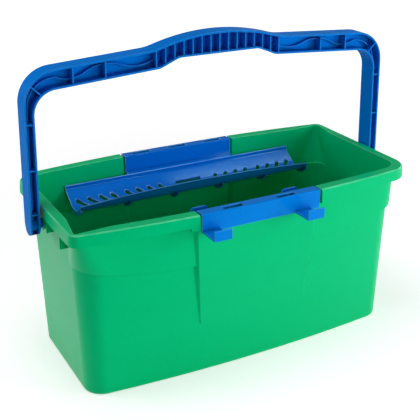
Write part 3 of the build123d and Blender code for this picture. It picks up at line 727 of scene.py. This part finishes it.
@dataclass
class Studio:
    """White studio: floor, surrounding light and soft boxes."""

    floor_size: float = 24.0
    floor_colour: Colour = (0.90, 0.90, 0.90, 1.0)
    fill: float = 0.15
    # What the camera sees: the floor's lift by radius, and the backdrop by the sine of its height
    lift_radii: Span = (0.5, 1.8)
    near_lift: float = 0.45
    far_lift: float = 0.90
    backdrop_span: Span = (0.24, 0.32)
    ceiling: float = 0.15
    # What the gloss mirrors: a floor and a backdrop that darken sooner, to keep white haze off the rim
    gloss_lift_radii: Span = (0.46, 0.64)
    gloss_backdrop_span: Span = (0.0, 0.20)
    gloss_ceiling: float = 0.12
    lamps: list[SoftBox] = field(default_factory=lambda: [
        SoftBox(
            "key box", place=(1.0, -1.0, 0.45), aim=(0.0, 0.0, 0.15),
            width=0.6, height=0.6, power=8.3
        ),
        SoftBox(
            "front box", place=(0.2, -1.5, 0.4), aim=(0.0, 0.0, 0.15),
            width=0.8, height=0.6, power=5.6
        ),
        SoftBox(
            "left box", place=(-1.4, 0.7, 0.55), aim=(-0.2, 0.0, 0.2),
            width=0.8, height=0.8, power=7.0
        ),
        SoftBox(
            "right box", place=(1.6, 0.0, 0.6), aim=(0.1, 0.0, 0.2),
            width=0.8, height=0.8, power=4.0
        ),
        SoftBox(
            "top left box", place=(-0.45, 0.1, 1.7), aim=(-0.45, 0.1, 0.2),
            width=1.0, height=1.0, power=10.0
        ),
        SoftBox(
            "sheen box", place=(0.92, 0.025, 1.7), aim=(0.92, 0.025, 0.2),
            width=0.60, height=0.03, power=0.45
        ),
    ])

    def build(self) -> None:
        """Builds the whole studio."""
        self.build_floor()
        self.build_world()
        for lamp in self.lamps:
            lamp.build()

    def seen_directly(self, sheet: NodeSheet) -> Any:
        """Adds nodes that tell rays that show the surroundings from those that light the bucket.

        Args:
            sheet: The node sheet to add them to.

        Returns:
            A value socket that is 1 for camera, glossy and transmission rays.
        """
        path = sheet.add("ShaderNodeLightPath")
        first = sheet.add("ShaderNodeMath", operation="MAXIMUM")
        second = sheet.add("ShaderNodeMath", operation="MAXIMUM")
        sheet.join(path.outputs["Is Camera Ray"], first.inputs[0])
        sheet.join(path.outputs["Is Glossy Ray"], first.inputs[1])
        sheet.join(first.outputs["Value"], second.inputs[0])
        sheet.join(path.outputs["Is Transmission Ray"], second.inputs[1])
        return second.outputs["Value"]

    def by_view(self, sheet: NodeSheet, direct: Any, mirrored: Any) -> Any:
        """Adds nodes that give camera rays one value and mirrored rays another.

        Args:
            sheet: The node sheet to add them to.
            direct: The value socket for camera rays.
            mirrored: The value socket for the other rays.

        Returns:
            The value socket that holds the one or the other.
        """
        path = sheet.add("ShaderNodeLightPath")
        choice = sheet.add("ShaderNodeMix", data_type="FLOAT")
        sheet.join(path.outputs["Is Camera Ray"], choice.inputs[MIX_SHARE])
        sheet.join(mirrored, choice.inputs[VALUE_A])
        sheet.join(direct, choice.inputs[VALUE_B])
        return choice.outputs[VALUE_OUT]

    def build_floor(self) -> None:
        """Builds the white floor, which keeps the bucket's shadow and grows whiter away from it."""
        work = bmesh.new()
        bmesh.ops.create_grid(work, x_segments=1, y_segments=1, size=self.floor_size / 2)
        mesh = bpy.data.meshes.new("floor")
        work.to_mesh(mesh)
        work.free()
        floor = bpy.data.objects.new("floor", mesh)
        bpy.context.scene.collection.objects.link(floor)
        paint = bpy.data.materials.new("white floor")
        paint.use_nodes = True
        paint.node_tree.nodes.clear()
        sheet = NodeSheet(paint.node_tree)
        seen = self.seen_directly(sheet)
        place = sheet.add("ShaderNodeTexCoord")
        away = sheet.add("ShaderNodeVectorMath", operation="LENGTH")
        lift = sheet.spread(
            self.lift_radii, interpolation_type="SMOOTHSTEP", To_Min=self.near_lift, To_Max=self.far_lift
        )
        mirrored = sheet.spread(self.gloss_lift_radii, To_Min=self.near_lift, To_Max=0.0)
        shown = sheet.add("ShaderNodeMath", operation="MULTIPLY")
        matt = sheet.add("ShaderNodeBsdfDiffuse", Color=self.floor_colour)
        glow = sheet.add("ShaderNodeEmission")
        both = sheet.add("ShaderNodeAddShader")
        end = sheet.add("ShaderNodeOutputMaterial")
        sheet.join(place.outputs["Object"], away.inputs[0])
        sheet.join(away.outputs["Value"], lift.inputs["Value"])
        sheet.join(away.outputs["Value"], mirrored.inputs["Value"])
        sheet.join(self.by_view(sheet, lift.outputs["Result"], mirrored.outputs["Result"]), shown.inputs[0])
        sheet.join(seen, shown.inputs[1])
        sheet.join(shown.outputs["Value"], glow.inputs["Strength"])
        sheet.join(matt.outputs["BSDF"], both.inputs[0])
        sheet.join(glow.outputs["Emission"], both.inputs[1])
        sheet.join(both.outputs["Shader"], end.inputs["Surface"])
        mesh.materials.append(paint)

    def build_world(self) -> None:
        """Builds the surroundings: a white backdrop under a darker ceiling, and an even fill light."""
        world = bpy.data.worlds.new("white studio")
        bpy.context.scene.world = world
        world.use_nodes = True
        world.node_tree.nodes.clear()
        sheet = NodeSheet(world.node_tree)
        seen = self.seen_directly(sheet)
        place = sheet.add("ShaderNodeTexCoord")
        split = sheet.add("ShaderNodeSeparateXYZ")
        backdrop = sheet.spread(self.backdrop_span, To_Min=1.0, To_Max=self.ceiling)
        mirrored = sheet.spread(self.gloss_backdrop_span, To_Min=1.0, To_Max=self.gloss_ceiling)
        strength = sheet.add("ShaderNodeMapRange", To_Min=self.fill)
        sky = sheet.add("ShaderNodeBackground", Color=WHITE)
        end = sheet.add("ShaderNodeOutputWorld")
        sheet.join(place.outputs["Generated"], split.inputs[0])
        sheet.join(split.outputs["Z"], backdrop.inputs["Value"])
        sheet.join(split.outputs["Z"], mirrored.inputs["Value"])
        sheet.join(seen, strength.inputs["Value"])
        shown = self.by_view(sheet, backdrop.outputs["Result"], mirrored.outputs["Result"])
        sheet.join(shown, strength.inputs["To Max"])
        sheet.join(strength.outputs["Result"], sky.inputs["Strength"])
        sheet.join(sky.outputs["Background"], end.inputs["Surface"])


@dataclass(frozen=True)
class PhotoCamera:
    """Camera at the photograph's viewing angle."""

    azimuth: float = math.radians(-28.14)
    elevation: float = math.radians(23.17)
    roll: float = math.radians(-0.07)
    distance: float = 1.2048
    target: Place = (-0.00824, 0.0, 0.18235)
    picture_size: int = 420
    focal_pixels: float = 859.5

    def build(self) -> bpy.types.Object:
        """Builds the camera and makes it the scene's own.

        Returns:
            The camera.
        """
        lens = bpy.data.cameras.new("photo camera")
        lens.sensor_fit = "HORIZONTAL"
        lens.lens = lens.sensor_width * self.focal_pixels / self.picture_size
        made = bpy.data.objects.new("photo camera", lens)
        bpy.context.scene.collection.objects.link(made)
        away = Vector((
            math.sin(self.azimuth) * math.cos(self.elevation),
            -math.cos(self.azimuth) * math.cos(self.elevation),
            math.sin(self.elevation),
        ))
        turn = Euler((math.pi / 2 - self.elevation, 0.0, self.azimuth)).to_matrix()
        made.matrix_world = Matrix.LocRotScale(
            Vector(self.target) + away * self.distance, turn @ Matrix.Rotation(self.roll, 3, "Z"), None
        )
        bpy.context.scene.camera = made
        return made


def main() -> None:
    """Builds the bucket's pieces, the studio and the camera."""
    logging.basicConfig(level=logging.INFO, format="%(name)s: %(message)s")
    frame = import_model()
    bpy.context.scene.view_settings.view_transform = "Standard"
    effects = PlasticEffects()
    effects.build()
    for moulding in (Tub(), BailHandle(), Sieve(), ToolHolder()):
        piece = moulding.build(frame, effects)
        LOG.info("%s has %d faces", piece.name, len(piece.data.polygons))
    Studio().build()
    PhotoCamera().build()
    bpy.context.view_layer.update()


if __name__ == "__main__":
    main()
